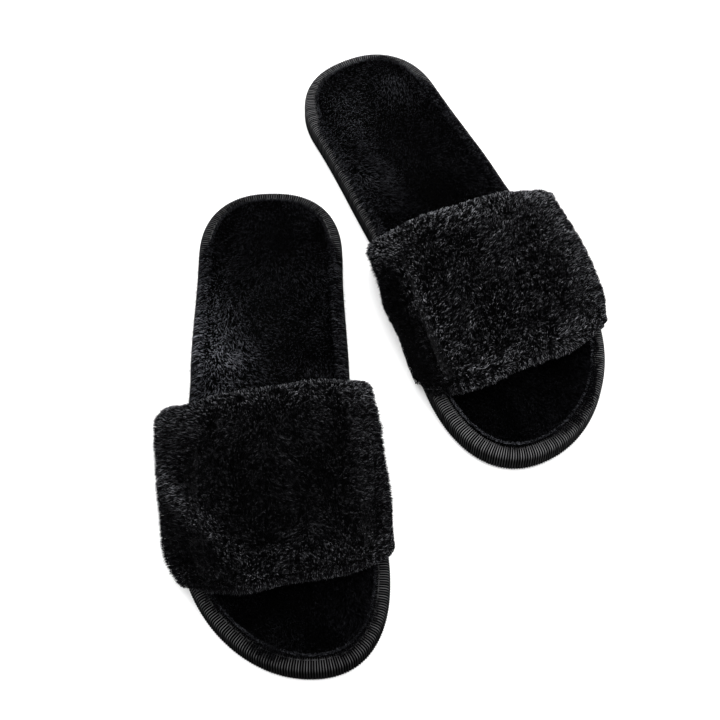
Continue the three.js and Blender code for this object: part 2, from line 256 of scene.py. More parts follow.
class Slipper:
    """One slipper's name, body, strap and place on the floor, and its look, whose fields are
    explained at PAIR. side is 1 for a right slipper, and -1 mirrors it to a left one."""

    def __init__(self, name, side, slant_rear, slant_front, **look):
        self.name, self.side = name, side
        self.__dict__.update(look)
        self.body = f"{name}_slipper"
        self.strap = Strap(slant_rear, slant_front)
        mounts = {m["name"]: np.array(m["pos_m"][:2]) for m in frame["record"]["mounts"]}
        heel, ball = mounts[f"{name}_heel_rest"], mounts[f"{name}_toe_rest"]
        own = [np.array([side * centre_line(u), -u]) * MM for u in (HEEL_AT, BALL_AT)]
        turned = math.atan2(*(ball - heel)[::-1]) - math.atan2(*(own[1] - own[0])[::-1])
        c, s = math.cos(turned), math.sin(turned)
        self.turn = np.array([[c, -s], [s, c]])
        self.origin = heel - self.turn @ own[0]

    def to_row(self, points):
        """Points of the right slipper's frame, in millimetres, as row points in metres."""
        own = np.asarray(points, float).reshape(-1, 3) * MM
        own[:, 0] *= self.side
        own[:, :2] = own[:, :2] @ self.turn.T + self.origin
        return own


def make_mesh(slipper, name, points, faces, material, attributes=None, bake_map=None, flat=False):
    """A smooth-shaded mesh object riding on the slipper. faces is an (n, 3) or (n, 4) array,
    or a list of such arrays, turned outwards in the right slipper's frame. bake_map is each
    point's two places on the map that a bake is written to."""
    faces = faces if isinstance(faces, list) else [faces]
    if slipper.side < 0:
        faces = [f[:, ::-1] for f in faces]
    mesh = bpy.data.meshes.new(f"{slipper.name}_{name}")
    co = slipper.to_row(points)
    corners = np.concatenate([f.ravel() for f in faces])
    sizes = np.concatenate([np.full(len(f), f.shape[1]) for f in faces])
    mesh.vertices.add(len(co))
    mesh.vertices.foreach_set("co", co.astype(np.float32).ravel())
    mesh.loops.add(len(corners))
    mesh.loops.foreach_set("vertex_index", corners.astype(np.int32))
    mesh.polygons.add(len(sizes))
    mesh.polygons.foreach_set("loop_start", np.r_[0, np.cumsum(sizes)[:-1]].astype(np.int32))
    mesh.polygons.foreach_set("use_smooth", np.full(len(sizes), not flat))
    mesh.update(calc_edges=True)
    for key, values in (attributes or {}).items():
        made = mesh.attributes.new(key, "FLOAT", "POINT")
        made.data.foreach_set("value", values.astype(np.float32))
    if bake_map is not None:
        places = np.stack(bake_map, 1)[corners].astype(np.float32)
        mesh.uv_layers.new(name="OFBake").data.foreach_set("uv", places.ravel())
    mesh.materials.append(material)
    piece = bpy.data.objects.new(mesh.name, mesh)
    bpy.context.scene.collection.objects.link(piece)
    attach(piece, slipper.body)
    return piece


def grid_faces(rows, columns, close_rows=False, close_columns=False):
    """Quads of a grid of points, numbered row by row."""
    row = np.arange(rows if close_rows else rows - 1)[:, None]
    column = np.arange(columns if close_columns else columns - 1)[None]
    a = row * columns + column
    b = row * columns + (column + 1) % columns
    c = (row + 1) % rows * columns + (column + 1) % columns
    d = (row + 1) % rows * columns + column
    return np.stack([x.ravel() for x in (a, b, c, d)], 1)


def strip_cap(loop):
    """Quads that close a loop of point numbers, whose first half faces its second half."""
    j = np.arange(len(loop) // 2 - 1)
    far = len(loop) - 1 - j
    return np.stack([loop[j], loop[j + 1], loop[far - 1], loop[far]], 1)


def outward(points, faces):
    """The faces, turned over if the closed surface has a negative volume."""
    total = 0.0
    for f in faces:
        for k in range(1, f.shape[1] - 1):
            a, b, c = points[f[:, 0]], points[f[:, k]], points[f[:, k + 1]]
            total += np.einsum("ij,ij->i", a, np.cross(b, c)).sum()
    return faces if total > 0 else [f[:, ::-1] for f in faces]


# ---- fibres ----

def ripple(x, y, angles):
    """Gradient noise, about -1 to 1, on a unit lattice of gradient angles."""
    column, row = np.floor(x).astype(int), np.floor(y).astype(int)
    fx, fy = x - column, y - row

    def corner(dx, dy):
        angle = angles[(column + dx) % len(angles), (row + dy) % len(angles)]
        return np.cos(angle) * (fx - dx) + np.sin(angle) * (fy - dy)

    across, up = smooth(fx), smooth(fy)
    low, high = mix(corner(0, 0), corner(1, 0), across), mix(corner(0, 1), corner(1, 1), across)
    return 1.5 * mix(low, high, up)


def flow(x, y, scale, seed):
    """Noise of two octaves that changes over scale millimetres, and its slopes along x and y."""
    angles = np.random.default_rng(seed).uniform(0, 2 * math.pi, (64, 64))
    x, y = x / scale + 7.3, y / scale + 9.1
    step = 0.05

    def at(x, y):
        return ripple(x, y, angles) + 0.5 * ripple(2.1 * x + 5, 2.1 * y, angles)

    value = at(x, y)
    return value, (at(x + step, y) - value) / step, (at(x, y + step) - value) / step


def scatter(grid, pile, count, rng):
    """count random roots on a grid of points, each with its pile vector and its place (row,
    column) on the grid. They are spread so that the pile's tips lie evenly."""
    tips = grid + 0.8 * pile
    a, b, c, d = tips[:-1, :-1], tips[:-1, 1:], tips[1:, 1:], tips[1:, :-1]
    area = np.linalg.norm(np.cross(c - a, d - b), axis=-1).ravel() / 2
    cell = rng.choice(len(area), count, p=area / area.sum())
    row, column = np.divmod(cell, grid.shape[1] - 1)
    v, w = rng.random((2, count, 1))

    def at(field):
        low = mix(field[row, column], field[row, column + 1], w)
        high = mix(field[row + 1, column], field[row + 1, column + 1], w)
        return mix(low, high, v)

    return at(grid), at(pile), row + v[:, 0], column + w[:, 0]


def fibres(slipper, name, roots, middles, tips, radius, tint, material):
    """Thin closed fibres: a point at the root and at the tip, and three sides at the middle. On
    the bake map a fibre lies at its shade and painted sheen, its middle spread a little to give its
    faces room."""
    count = len(roots)
    spin = np.random.default_rng(count).normal(size=(count, 3))
    across = unit(np.cross(unit(tips - roots), spin))
    up = np.cross(unit(tips - roots), across)
    ring = [middles + radius[:, None] * (across * math.cos(a) + up * math.sin(a))
            for a in (0, 2 * math.pi / 3, 4 * math.pi / 3)]
    points = np.stack([roots, *ring, tips], 1).reshape(-1, 3)
    corners = [[0, 2, 1], [0, 3, 2], [0, 1, 3], [4, 1, 2], [4, 2, 3], [4, 3, 1]]
    faces = (np.arange(count)[:, None, None] * 5 + np.array(corners)).reshape(-1, 3)
    height = np.tile(np.array([0, RING, RING, RING, 1.0]), count)
    spread = np.tile(np.array([0, -0.0025, 0, 0.0025, 0]), count)
    tones_and_sheens = np.clip(np.repeat(tint, 5), 0.004, 0.996)
    piece = make_mesh(slipper, name, points, faces, material, {"tint": tones_and_sheens, "height": height},
                      (tones_and_sheens + spread, height * 0.98 + 0.01))
    return piece


# ---- materials ----

def material(name, color, roughness, specular):
    made = bpy.data.materials.new(name)
    made.use_nodes = True
    shader = made.node_tree.nodes["Principled BSDF"]
    shader.inputs["Base Color"].default_value = (*color, 1)
    shader.inputs["Roughness"].default_value = roughness
    shader.inputs["Specular IOR Level"].default_value = specular
    return made, made.node_tree, shader


def attribute(tree, name):
    node = tree.nodes.new("ShaderNodeAttribute")
    node.attribute_name = name
    return node.outputs["Fac"]


def colour_mix(tree, factor, a, b):
    node = tree.nodes.new("ShaderNodeMix")
    node.data_type = "RGBA"
    for socket, value in (("Factor", factor), ("A", a), ("B", b)):
        if isinstance(value, tuple):
            node.inputs[socket].default_value = (*value, 1)
        else:
            tree.links.new(value, node.inputs[socket])
    return node.outputs["Result"]


def map_range(tree, value, low, high, to_low=0.0, to_high=1.0):
    node = tree.nodes.new("ShaderNodeMapRange")
    tree.links.new(value, node.inputs["Value"])
    for name, number in (("From Min", low), ("From Max", high),
                         ("To Min", to_low), ("To Max", to_high)):
        node.inputs[name].default_value = number
    return node.outputs["Result"]


def noise(tree, scale):
    place = tree.nodes.new("ShaderNodeTexCoord").outputs["Object"]
    node = tree.nodes.new("ShaderNodeTexNoise")
    node.inputs["Scale"].default_value = scale
    node.inputs["Detail"].default_value = 3.0
    tree.links.new(place, node.inputs["Vector"])
    return node.outputs["Fac"]


def bump(tree, shader, height, distance):
    node = tree.nodes.new("ShaderNodeBump")
    node.inputs["Distance"].default_value = distance
    node.inputs["Strength"].default_value = 1.0
    tree.links.new(height, node.inputs["Height"])
    tree.links.new(node.outputs["Normal"], shader.inputs["Normal"])


def pile_material(name, dark, light, roughness, specular):
    """Fibres: each with its own shade between the dark fibre and a light painted sheen that shows
    towards the tip; towards the root they are darker, as painted shade deep in the pile.
    """
    made, tree, shader = material(name, dark, roughness, specular)
    shade = colour_mix(tree, attribute(tree, "tint"), dark, light)
    depth = map_range(tree, attribute(tree, "height"), 0.58, 0.96)
    # Painted shade deep in the pile: the root's colour is darker still.
    root_shade = tuple(c * 0.25 for c in dark)
    tree.links.new(colour_mix(tree, depth, root_shade, shade), shader.inputs["Base Color"])
    return made


def tape_material():
    """Grosgrain: ribs with a painted highlight and grooves with painted shade, with a little change
    from rib to rib.
    """
    made, tree, shader = material("binding_tape", (0.02, 0.02, 0.022), 0.5, 0.0)
    rib = map_range(tree, attribute(tree, "height"), 0.5, 0.95)
    # Painted highlight on the ribs' ridges and painted shade in their grooves.
    ridge_highlight = colour_mix(tree, attribute(tree, "tint"), (0.003, 0.003, 0.003), (0.13, 0.13, 0.134))
    groove_shade = (0.0005, 0.0005, 0.0005)
    tree.links.new(colour_mix(tree, rib, groove_shade, ridge_highlight), shader.inputs["Base Color"])
    return made


def plain_material(name, dark, light, roughness, specular, scale, relief):
    """A finish with a fine uneven grain of about 1 / scale metres."""
    made, tree, shader = material(name, dark, roughness, specular)
    grain = noise(tree, scale)
    tone = map_range(tree, grain, 0.35, 0.65)
    tree.links.new(colour_mix(tree, tone, dark, light), shader.inputs["Base Color"])
    rough = map_range(tree, grain, 0.3, 0.7, roughness - 0.08, roughness + 0.08)
    tree.links.new(rough, shader.inputs["Roughness"])
    bump(tree, shader, grain, relief)
    return made


PILE_DARK = (0.0009, 0.0009, 0.0011)
MATERIALS = {
    # The piles' light colours are painted sheen; the dark one is the fibres' own colour.
    "strap_pile": pile_material("strap_pile", PILE_DARK, (0.42, 0.425, 0.46), 0.5, 0.005),
    "insole_pile": pile_material("insole_pile", PILE_DARK, (0.4, 0.41, 0.465), 0.5, 0.0),
    "backing": plain_material("pile_backing", (0.001, 0.001, 0.001), (0.003, 0.003, 0.003),
                              0.9, 0.0, 900, 0.0002),
    "tape": tape_material(),
    "thread": plain_material("sewing_thread", (0.006, 0.006, 0.007), (0.03, 0.03, 0.032),
                             0.55, 0.3, 2500, 0.0001),
    "lining": plain_material("strap_lining", (0.004, 0.004, 0.005), (0.012, 0.012, 0.013),
                             0.85, 0.2, 1500, 0.00015),
    "foam": plain_material("sole_foam", (0.02, 0.02, 0.022), (0.035, 0.035, 0.037),
                           0.9, 0.2, 700, 0.0003),
    # Near black: the rubber's own dark colour, made darker still as painted shade under the tape's
    # lip.
    "outsole": plain_material("outsole_rubber", (0.003, 0.003, 0.003), (0.008, 0.008, 0.009),
                              0.6, 0.15, 1200, 0.0001),
}


# ---- the strap's pieces ----

STRAP_ROWS = 61
ROLL = 6  # rows of the grid that turn over each edge
ROLL_ANGLE = 140
ROLL_OUT, ROLL_AHEAD = 0.85, 0.6  # shares of the pile's length on the rolled edge


def strap_backing_depth(room):
    """How far the backing's outer face stands out from the lining's inner face."""
    return np.clip(room - STRAP_PILE, 2.0, 4.6)


def cut_short(slipper, grid):
    """The grid with its rows drawn back from the strap's front edge, to make room for the pile
    that rolls over it. front_short is in millimetres at the lateral and the medial foot."""
    rows, columns = grid.shape[:2]
    short = mix(*slipper.front_short, slipper.strap.columns())
    place = np.linspace(0, rows - 1, rows)[:, None] * (1 - short / STRAP_LENGTH)
    row = np.minimum(place.astype(int), rows - 2)
    column = np.arange(columns)
    return mix(grid[row, column], grid[row + 1, column], (place - row)[..., None])


def strap_grid(slipper):
    """The backing's outer face and the pile on it, rolled over the rear and front edges."""
    strap = slipper.strap
    t = np.linspace(0, 1, STRAP_ROWS)
    base = cut_short(slipper, strap.layer(t, strap_backing_depth))
    pile = cut_short(slipper, strap.faces(t)[1]) - base
    low = cut_short(slipper, strap.layer(t, LINING + GAP))
    grids, piles = [], []
    for edge, ahead in ((0, base[0] - base[1]), (-1, base[-1] - base[-2])):
        ahead = unit(ahead)
        height = np.linalg.norm(pile[edge], axis=-1, keepdims=True)
        normal = pile[edge] / height
        centre = (base[edge] + low[edge]) / 2
        radius = np.linalg.norm(base[edge] - low[edge], axis=-1, keepdims=True) / 2
        angles = np.linspace(0, math.radians(ROLL_ANGLE), ROLL + 1)[1:]
        rows_out = [centre + radius * (normal * math.cos(a) + ahead * math.sin(a)) for a in angles]
        piles_out = [height * (normal * math.cos(a) * ROLL_OUT + ahead * math.sin(a) * ROLL_AHEAD)
                     for a in angles]
        grids.append(np.array(rows_out))
        piles.append(np.array(piles_out))
    grid = np.concatenate([grids[0][::-1], base, grids[1]])
    return grid, np.concatenate([piles[0][::-1], pile, piles[1]])


def strap_base(slipper, grid):
    """The woven backing: a closed shell from the rolled grid down to the foam and lining."""
    strap = slipper.strap
    t = np.linspace(0.02, 0.9, grid.shape[0])
    inner = strap.layer(t, lambda room: np.clip(room - STRAP_PILE - 0.8, 1.35, 3.8))
    rows, columns = grid.shape[:2]
    points = np.concatenate([grid, inner[::-1]]).reshape(-1, 3)
    faces = [grid_faces(2 * rows, columns, close_rows=True)]
    column = np.arange(2 * rows) * columns
    faces += [strip_cap(column), strip_cap(column + columns - 1)[:, ::-1]]
    faces = outward(points, faces)
    piece = make_mesh(slipper, "strap_backing", points, faces, MATERIALS["backing"])
    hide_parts(f"{slipper.name}_strap_shell")


def strap_painted_light(slipper, s, t):
    """The painted light on the strap's pile: painted highlights along its rear and front edges,
    along the fold where the top meets the side on the left and on the right side, painted shade
    below that fold, and darker in the middle."""
    fold_rear, fold_slope, fold_highlight_gain, below_fold_shade_gain, fold_width = slipper.fold
    left = s if slipper.side > 0 else 1 - s
    rear, front = np.exp(-((t / 0.09) ** 2)), np.exp(-(((1 - t) / slipper.rim) ** 2))
    fold_at = fold_rear + fold_slope * t
    fold = np.exp(-(((left - fold_at) / fold_width) ** 2))
    below = (1 - smooth((left - fold_at + 0.07) / 0.05)) * smooth(t / 0.3)
    # Painted light on the right side of the strap.
    right = np.exp(-(((left - 0.78) / 0.07) ** 2))
    right = right * (0.4 + 0.6 * np.exp(-(((t - 0.45) / 0.25) ** 2)))
    front = front * mix(0.5, 1.1, smooth((left - 0.3) / 0.3))
    middle = np.exp(-(((s - 0.52) / 0.22) ** 2) - ((t - 0.55) / 0.36) ** 2)
    fold = fold * (1 - 0.6 * smooth((t - 0.65) / 0.3))
    # Painted highlights along the rims and the fold, painted shade below the fold; the middle is
    # darker.
    light = 0.6 + 1.2 * rear + 0.6 * front + fold_highlight_gain * fold - below_fold_shade_gain * below
    return slipper.gain * (light + 0.35 * right - slipper.dip * middle)


def plump(slipper, s, t):
    """Millimetres that the pile stands longer, where the padding swells or is pressed."""
    return sum(gain * np.exp(-(((s - at_s) / 0.1) ** 2) - ((t - at_t) / reach) ** 2)
               for at_s, at_t, reach, gain in slipper.plump)


def strap_pile(slipper, grid, pile):
    """The strap's fibres: they lean forward and to the side in drifts and tufts."""
    rng = np.random.default_rng(7 + slipper.seed)
    for part in range(STRAP_PIECES):
        roots, lift, row, column = scatter(grid, pile, FIBRES_PER_PIECE, rng)
        height = np.linalg.norm(lift, axis=1, keepdims=True)
        normal = lift / height
        forward = np.array([0.0, -1.0, 0.0])
        along = unit(forward - normal * (normal @ forward)[:, None])
        side = np.cross(along, normal)
        s = np.clip((column - Strap.BELOW) / (Strap.COUNT - 1), 0, 1)
        t = np.clip((row - ROLL) / (STRAP_ROWS - 1), 0, 1)
        across, ahead = ARCH_LENGTH * s, STRAP_LENGTH * t
        drift = flow(across, ahead, 30, 3 + slipper.seed)
        tuft = flow(across, ahead, 5.5, 4 + slipper.seed)
        fleck_size, fleck_gain = slipper.fleck
        fleck = flow(across, ahead, fleck_size, 9 + slipper.seed)[0]
        count = len(s)
        forward_lean = 0.12 + 0.12 * drift[0] + slipper.tuft * tuft[2] + rng.normal(0, 0.1, count)
        side_lean = 0.12 * drift[1] + slipper.tuft * tuft[1] + rng.normal(0, 0.1, count)
        lean = along * forward_lean[:, None] + side * side_lean[:, None]
        longer = np.maximum(height + plump(slipper, s, t)[:, None], 1.5)
        length = rng.uniform(0.86, 1.04, (count, 1)) * longer
        tips = roots + (normal + lean) * length
        middles = roots + (normal + 0.65 * lean) * length * RING
        # Painted light, shade and sheen over the strap, varied at random by the tufts and flecks.
        shade = strap_painted_light(slipper, s, t) * (1 + slipper.patch * tuft[0] + 0.15 * drift[0])
        shade = shade * np.clip(1 + fleck_gain * fleck, 0, None)
        tint = rng.random(count) ** STRAP_CONTRAST * np.clip(shade, 0.03, 2)
        radius = slipper.fine * (rng.uniform(0.11, 0.16, count) + 0.06 * np.clip(tint * 2, 0, 1))
        fibres(slipper, f"strap_pile_{part + 1}", roots, middles, tips, radius, tint,
               MATERIALS["strap_pile"])


def strap_lining(slipper):
    """The lining: a closed thin shell, its margins turned under the bound insole."""
    strap = slipper.strap
    edge = LINING_EDGE / STRAP_LENGTH
    t = np.linspace(edge, 1 - edge, 41)
    faces_of = [strap.layer(t, LINING), strap.layer(t, 0)]
    for grid, z in zip(faces_of, (FOOT_BOTTOM, FILLER_TOP)):
        for column, way in ((0, -1), (-1, 1)):
            grid[:, column, 2] = z
    under = []
    for grid, z in zip(faces_of, (FOOT_BOTTOM, FILLER_TOP)):
        ends = []
        for column, way in ((0, -1), (-1, 1)):
            end = grid[:, column].copy()
            end[:, 0] -= way * (TURN_UNDER + FOOT_CLEAR)
            ends.append(end[:, None])
        under.append(np.concatenate([ends[0], grid, ends[1]], 1))
    rows, columns = under[0].shape[:2]
    sections = np.concatenate([under[0], under[1][:, ::-1]], 1)
    points = sections.reshape(-1, 3)
    loop = np.arange(2 * columns)
    faces = [grid_faces(rows, 2 * columns, close_columns=True), strip_cap(loop)[:, ::-1],
             strip_cap(loop + (rows - 1) * 2 * columns)]
    faces = outward(points, faces)
    piece = make_mesh(slipper, "strap_lining_cloth", points, faces, MATERIALS["lining"])
    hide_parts(f"{slipper.name}_strap_lining")


# ---- the sole's pieces ----

def edge_binding(slipper):
    """Grosgrain tape folded over the sole's edge, with its ribs running across it. Its section
    goes from the lower flap round the outside to the upper flap; the lower lip reaches down
    over the outsole's edge."""
    ribs = RIB_SHADES * round(edge_curve(400)[2] / RIB_PITCH / RIB_SHADES)
    points, normals, _ = edge_curve(ribs * 4)
    rib = np.cos(2 * math.pi * np.arange(len(points)) / 4)
    # Insets from the sole's edge and heights.
    lip = [(BOTTOM_FLAP, TAPE_BOTTOM), (1.6, TAPE_BOTTOM - 0.1), (1.1, 3.8), (0.9, 2.3), (0.3, 1.6),
           (-0.3, 1.8), (-0.5, 2.6), (-0.4, 4.0)]
    wall = [(-0.2, TAPE_BOTTOM + 2.0), (-0.15, TAPE_BOTTOM + 4.0)]
    turn = np.radians(np.linspace(0, 90, 5))
    round_top = [(TAPE_ROUND * (1 - math.cos(a)), TAPE_TOP - TAPE_ROUND * (1 - math.sin(a)))
                 for a in turn]
    flap = [(TOP_FLAP - 0.5, TAPE_TOP), (TOP_FLAP, TAPE_TOP - 0.35)]
    inner = [(TOP_FLAP, FLAP_BOTTOM), (TAPE_THICK, FLAP_BOTTOM),
             (TAPE_THICK, TAPE_BOTTOM + TAPE_THICK), (BOTTOM_FLAP, TAPE_BOTTOM + TAPE_THICK)]
    outer = np.array(lip + wall + round_top + flap)
    away = unit(outer - np.array([INSIDE_TAPE + 1.0, (TAPE_BOTTOM + TAPE_TOP) / 2]))
    loops = []
    for (inset, z), (din, dz) in zip(outer, away):
        p = points - normals * (inset + RIB_DEPTH * rib[:, None] * din)
        loops.append(np.c_[p, z + RIB_DEPTH * rib * dz])
    for inset, z in inner:
        loops.append(np.c_[points - normals * inset, np.full(len(points), z)])
    grid = np.stack(loops, 1)
    flat = grid.reshape(-1, 3)
    levels = grid.shape[1]
    faces = outward(flat, [grid_faces(*grid.shape[:2], close_rows=True, close_columns=True)])
    shade = np.random.default_rng(21).random(RIB_SHADES)[np.arange(ribs) % RIB_SHADES]
    # Painted shade: the tape's wall goes darker below the height set with the constants.
    above_painted_shade = smooth((grid[..., 2] - TAPE_SHADE_BELOW) / (TAPE_TOP - TAPE_SHADE_BELOW))
    tint = slipper.tape * (0.3 + 0.7 * np.repeat(shade, 4))[:, None] * (0.15 + 0.85 * above_painted_shade)
    attributes = {"height": np.repeat(0.5 + 0.5 * rib, levels), "tint": tint.ravel()}
    piece = make_mesh(slipper, "ribbed_binding", flat, faces, MATERIALS["tape"], attributes)
    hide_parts(f"{slipper.name}_edge_binding")


def stitches(slipper, name, path, normals, closed, node):
    """A row of short stitches along a path, each dipping into the cloth at its ends. normals
    point out of the cloth."""
    run = np.r_[0, np.cumsum(np.linalg.norm(np.diff(path, axis=0), axis=1))]
    if closed:
        path, normals = np.r_[path, path[:1]], np.r_[normals, normals[:1]]
        run = np.r_[run, run[-1] + np.linalg.norm(path[-1] - path[-2])]
    count = int(run[-1] / STITCH_PITCH)
    starts = (np.arange(count) + 0.1) * run[-1] / count
    thick = np.array([0.5, 0.85, 1, 1, 1, 0.85, 0.5])
    rings, sides = len(thick), 6
    share = np.linspace(0, 1, rings)
    at = starts[:, None] + share * STITCH_LENGTH
    centre = np.stack([np.interp(at, run, path[:, k]) for k in range(3)], -1)
    out = unit(np.stack([np.interp(at, run, normals[:, k]) for k in range(3)], -1))
    centre = centre - out * (0.5 * (2 * share - 1) ** 4)[None, :, None]
    ahead = unit(np.gradient(centre, axis=1))
    wide = unit(np.cross(ahead, out))
    out = np.cross(wide, ahead)
    angle = np.linspace(0, 2 * math.pi, sides, endpoint=False)[:, None]
    radius = (STITCH_RADIUS * thick)[None, :, None, None]
    spoke = wide[:, :, None] * np.cos(angle) + out[:, :, None] * np.sin(angle)
    ring = centre[:, :, None] + radius * spoke
    points = np.concatenate([ring.reshape(count, -1, 3), centre[:, :1], centre[:, -1:]], 1)
    tube = grid_faces(rings, sides, close_columns=True)
    j = np.arange(sides)
    last, start, end = sides * (rings - 1), sides * rings, sides * rings + 1
    ends = np.r_[np.stack([(j + 1) % sides, j, np.full(sides, start)], 1),
                 np.stack([last + j, last + (j + 1) % sides, np.full(sides, end)], 1)]
    first = np.arange(count)[:, None, None] * (end + 1)
    faces = [(first + tube).reshape(-1, 4), (first + ends).reshape(-1, 3)]
    points = points.reshape(-1, 3)
    piece = make_mesh(slipper, name, points, outward(points, faces), MATERIALS["thread"])
    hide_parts(f"{slipper.name}_{node}")


def all_stitches(slipper):
    path, normals, _ = edge_curve(900)
    path = np.c_[path - normals * (TOP_FLAP - 0.9), np.full(len(path), TAPE_TOP + 0.22)]
    up = np.tile([0.0, 0.0, 1.0], (len(path), 1))
    stitches(slipper, "binding_stitches", path, up, True, "binding_stitch")
    strap = slipper.strap
    edge = 4.0 / STRAP_LENGTH
    faces = strap.faces([edge, 1 - edge])
    for k, end in enumerate(("rear", "front")):
        inner, outer = (f[k, Strap.BELOW:-Strap.BELOW] for f in faces)
        into = unit(inner - outer)
        stitches(slipper, f"strap_{end}_stitches", inner + into * 0.1, into, False,
                 f"strap_{end}_stitch")


def outsole(slipper):
    """The moulded sheet under the sole, drawn in behind the tape's lip, with its zigzag tread
    and a round pad under the heel and under the ball."""
    count = 320
    outline, normals, _ = edge_curve(count)
    levels = [(2.5, TREAD), (1.8, TREAD + 0.15), (OUTSOLE_INSET, TREAD + 0.6),
              (OUTSOLE_INSET, OUTSOLE_TOP - 0.5), (1.8, OUTSOLE_TOP - 0.1), (2.5, OUTSOLE_TOP)]
    points = np.concatenate([np.c_[outline - normals * i, np.full(count, z)] for i, z in levels])
    loop = np.arange(count)
    sheet = [grid_faces(len(levels), count, close_columns=True), strip_cap(loop),
             strip_cap(loop + count * (len(levels) - 1))[:, ::-1]]
    parts = [(points, outward(points, sheet))]
    low, high = 0.04, TREAD + 0.1
    steps = 33
    share = np.linspace(-1, 1, steps)
    for u in np.arange(TREAD_SPACING, LENGTH - TREAD_SPACING / 2, TREAD_SPACING):
        x = centre_line(u) + share * (half_width(u) - TREAD_INSET)
        bend = (x - SWEEP / 2) / ZIGZAG_STEP + 4.5
        middle = u - ZIGZAG / 2 * (2 * np.abs(bend % 2 - 1) - 1)
        rows = []
        for across, z in ((-0.5, low), (0.5, low), (0.5, high), (-0.5, high)):
            at = middle + across * TREAD_WIDTH
            x = centre_line(at) + share * (half_width(at) - TREAD_INSET)
            rows.append(np.c_[x, -at, np.full(steps, z)])
        points = np.stack(rows, 1).reshape(-1, 3)
        first, last = np.arange(4), 4 * steps - 1 - np.arange(4)
        rib = [grid_faces(steps, 4, close_columns=True), np.array([first, last])]
        parts.append((points, outward(points, rib)))
    sides = 48
    for u, radius in ((HEEL_AT, 9.0), (BALL_AT, 12.0)):
        angle = np.linspace(0, 2 * math.pi, sides, endpoint=False)
        ring = np.c_[centre_line(u) + radius * np.cos(angle), -u + radius * np.sin(angle)]
        points = np.r_[np.c_[ring, np.zeros(sides)], np.c_[ring, np.full(sides, high)]]
        loop = np.arange(sides)
        pad = [grid_faces(2, sides, close_columns=True), strip_cap(loop),
               strip_cap(loop + sides)[:, ::-1]]
        parts.append((points, outward(points, pad)))
    firsts = np.r_[0, np.cumsum([len(p) for p, _ in parts])]
    faces = [f + first for (_, some), first in zip(parts, firsts) for f in some]
    points = np.concatenate([p for p, _ in parts])
    piece = make_mesh(slipper, "outsole_tread", points, faces, MATERIALS["outsole"], flat=True)
    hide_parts(f"{slipper.name}_outsole")


def insole_backing(slipper):
    """The footbed's woven backing, which rises inside the tape's upper flap."""
    edge = TOP_FLAP + GAP
    count = 240
    outline, normals, _ = edge_curve(count)
    levels = [(INSIDE_TAPE, COVER_BOTTOM), (INSIDE_TAPE, BACKING_TOP), (edge, BACKING_TOP),
              (edge, FOOTBED_TOP - 0.8), (edge + 1.0, FOOTBED_TOP)]
    points = np.concatenate([np.c_[outline - normals * i, np.full(count, z)] for i, z in levels])
    loop = np.arange(count)
    faces = [grid_faces(len(levels), count, close_columns=True), strip_cap(loop),
             strip_cap(loop + count * (len(levels) - 1))[:, ::-1]]
    faces = outward(points, faces)
    piece = make_mesh(slipper, "insole_backing", points, faces, MATERIALS["backing"])
    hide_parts(f"{slipper.name}_insole_cover")


def insole_pile(slipper):
    """The footbed's short fibres, rooted 1 mm inside the backing, leaning all ways in tufts."""
    rows, columns = 120, 40
    edge = TOP_FLAP + GAP
    u = mix(edge + 0.4, LENGTH - edge - 0.4, (1 - np.cos(np.linspace(0, math.pi, rows))) / 2)
    inset_half = np.maximum(half_width(u) - edge, 1.0)
    x = centre_line(u)[:, None] + inset_half[:, None] * np.linspace(-1, 1, columns)
    z = np.full_like(x, FOOTBED_TOP)
    grid = np.stack([x, np.repeat(-u[:, None], columns, 1), z], -1)
    pile = np.zeros_like(grid)
    pile[..., 2] = FOOTBED_PILE
    rng = np.random.default_rng(17 + slipper.seed)
    for part in range(FOOTBED_PIECES):
        roots, lift, _, _ = scatter(grid, pile, FIBRES_PER_PIECE, rng)
        count = len(roots)
        x, y = roots[:, 0], roots[:, 1]
        drift = flow(x, y, 60, 5 + slipper.seed)
        tuft = flow(x, y, 10, 6 + slipper.seed)
        angle = 0.9 * drift[0] + 0.7 * tuft[0] + rng.normal(0, 0.35, count)
        amount = rng.uniform(0.5, 1.3, count) * (0.9 + 0.5 * drift[1])
        lean = np.stack([np.sin(angle), -np.cos(angle), 0 * angle], 1) * amount[:, None]
        height = lift[:, 2:] * rng.uniform(0.85, 1.1, (count, 1))
        roots = roots - [[0, 0, 1.0]]
        up = np.array([[0, 0, 1.0]])
        tips = roots + up * (height + 1.0) + lean * height
        middles = roots + up * (height + 1.0) * RING + 0.6 * lean * height
        # Painted sheen and shade over the footbed, varied at random by the tufts.
        shade = insole_painted_light(slipper, x, -y) * (1 + 0.35 * tuft[0] + 0.5 * drift[0])
        tint = rng.random(count) ** FOOTBED_CONTRAST * np.clip(0.85 * shade, 0.02, 2)
        radius = rng.uniform(0.1, 0.15, count) + 0.04 * np.clip(tint * 2, 0, 1)
        fibres(slipper, f"insole_pile_{part + 1}", roots, middles, tips, radius, tint,
               MATERIALS["insole_pile"])


def insole_painted_light(slipper, x, u):
    """The painted light over the footbed: painted sheen, stronger in patches where the pile lies
    the other way and weaker in patches of negative gain, and painted shade towards the toes, which
    lie in the strap's shadow.
    """
    share = (x - centre_line(u)) / np.maximum(half_width(u), 1)
    # Painted shade from u = 165 on, under the strap and over the toes in its shadow.
    light = 0.1 - 0.06 * smooth((u - 165) / 30)
    for at, across, reach, width, gain in slipper.patches:
        light += gain * np.exp(-(((u - at) / reach) ** 2) - ((share - across) / width) ** 2)
    return light


